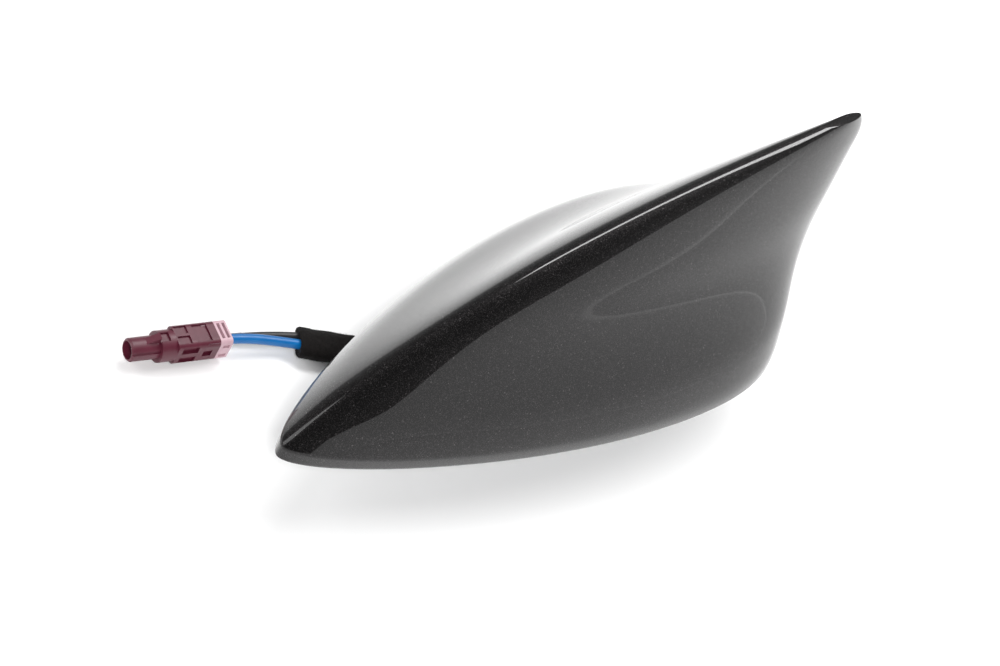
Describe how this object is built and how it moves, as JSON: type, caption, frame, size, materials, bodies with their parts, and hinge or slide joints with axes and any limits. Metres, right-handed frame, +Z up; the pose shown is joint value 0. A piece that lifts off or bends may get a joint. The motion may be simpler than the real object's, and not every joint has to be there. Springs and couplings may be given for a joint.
{
  "type": "vehicle roof antenna",
  "caption": "Shark fin roof antenna with painted cover, sealed base, clamp foot, circuit boards and two leads, one with a coaxial plug.",
  "frame": {"origin": "on the clamp bolt axis, in the plane of the vehicle roof", "axes": "+Z up out of the roof, +X from the nose to the tail, +Y the far side where the leads run out"},
  "size_m": [0.1873, 0.0839, 0.0786],
  "materials": {
    "cover_paint": "dark grey metallic paint under gloss clear coat on a plastic moulding",
    "die_cast": "matt zinc die casting",
    "seal_rubber": "matt black soft rubber",
    "foam": "closed cell foam",
    "black_plastic": "matt black moulding",
    "steel": "zinc plated steel",
    "spring_steel": "bare spring steel",
    "circuit_board": "green solder resist",
    "ceramic": "fired ceramic",
    "silvering": "silvered film",
    "brass": "gilt brass",
    "tinplate": "tinned sheet",
    "copper": "bare copper foil",
    "blue_jacket": "smooth blue cable jacket",
    "black_jacket": "smooth black cable jacket",
    "fleece": "black fleece tape",
    "wine_plastic": "wine red moulding",
    "pink_plastic": "pale pink moulding",
    "white_plastic": "white insulator"
  },
  "bodies": {
    "antenna": {"cover_shell": "cover_paint", "base_plate": "die_cast", "perimeter_seal": "seal_rubber", "neck_seal": "foam", "cable_grommet": "seal_rubber", "vent_plug": "black_plastic", "main_board": "circuit_board", "ceramic_patch": "ceramic", "patch_electrode": "silvering", "patch_feed_pin": "brass", "shield_can": "tinplate", "board_chips": "black_plastic", "fin_board": "circuit_board", "fin_radiator": "copper", "fin_clips": "tinplate", "cover_screws": "steel", "board_screws": "steel", "blue_lead": "blue_jacket", "black_lead": "black_jacket", "fleece_wrap": "fleece", "lead_collars": "tinplate", "lead_end_cap": "black_jacket", "connector_housing": "wine_plastic", "latch_ramp": "wine_plastic", "connector_ferrule": "tinplate", "contact_shell": "tinplate", "contact_insulator": "white_plastic", "contact_pin": "brass"},
    "claw": {"claw_plate": "steel"},
    "leg_far": {"claw_leg_far": "spring_steel"},
    "leg_near": {"claw_leg_near": "spring_steel"},
    "bolt": {"clamp_bolt": "steel", "bolt_retainer": "spring_steel"},
    "plug_lock": {"connector_lock": "pink_plastic"}
  },
  "joints": [
    {"name": "claw_rise", "type": "slide", "parent": "antenna", "child": "claw", "axis": [0, 0, 1], "range_m": [0, 0.003]},
    {"name": "bolt_turn", "type": "hinge", "parent": "claw", "child": "bolt", "pos_m": [0, 0, -0.012], "axis": [0, 0, 1], "range_deg": [0, 1080]},
    {"name": "leg_far_spread", "type": "hinge", "parent": "claw", "child": "leg_far", "pos_m": [0, 0.0079, -0.011], "axis": [-1, 0, 0], "range_deg": [0, 15]},
    {"name": "leg_near_spread", "type": "hinge", "parent": "claw", "child": "leg_near", "pos_m": [0, -0.0079, -0.011], "axis": [1, 0, 0], "range_deg": [0, 15]},
    {"name": "plug_lock_slide", "type": "slide", "parent": "antenna", "child": "plug_lock", "axis": [0.9736, -0.2282, 0], "range_m": [0, 0.0015]}
  ],
  "couplings": [
    {"joint": "bolt_turn", "follows": "claw_rise", "rad_per_m": 6282.6},
    {"joint": "leg_far_spread", "follows": "claw_rise", "rad_per_m": 87.258},
    {"joint": "leg_near_spread", "follows": "claw_rise", "rad_per_m": 87.258}
  ]
}
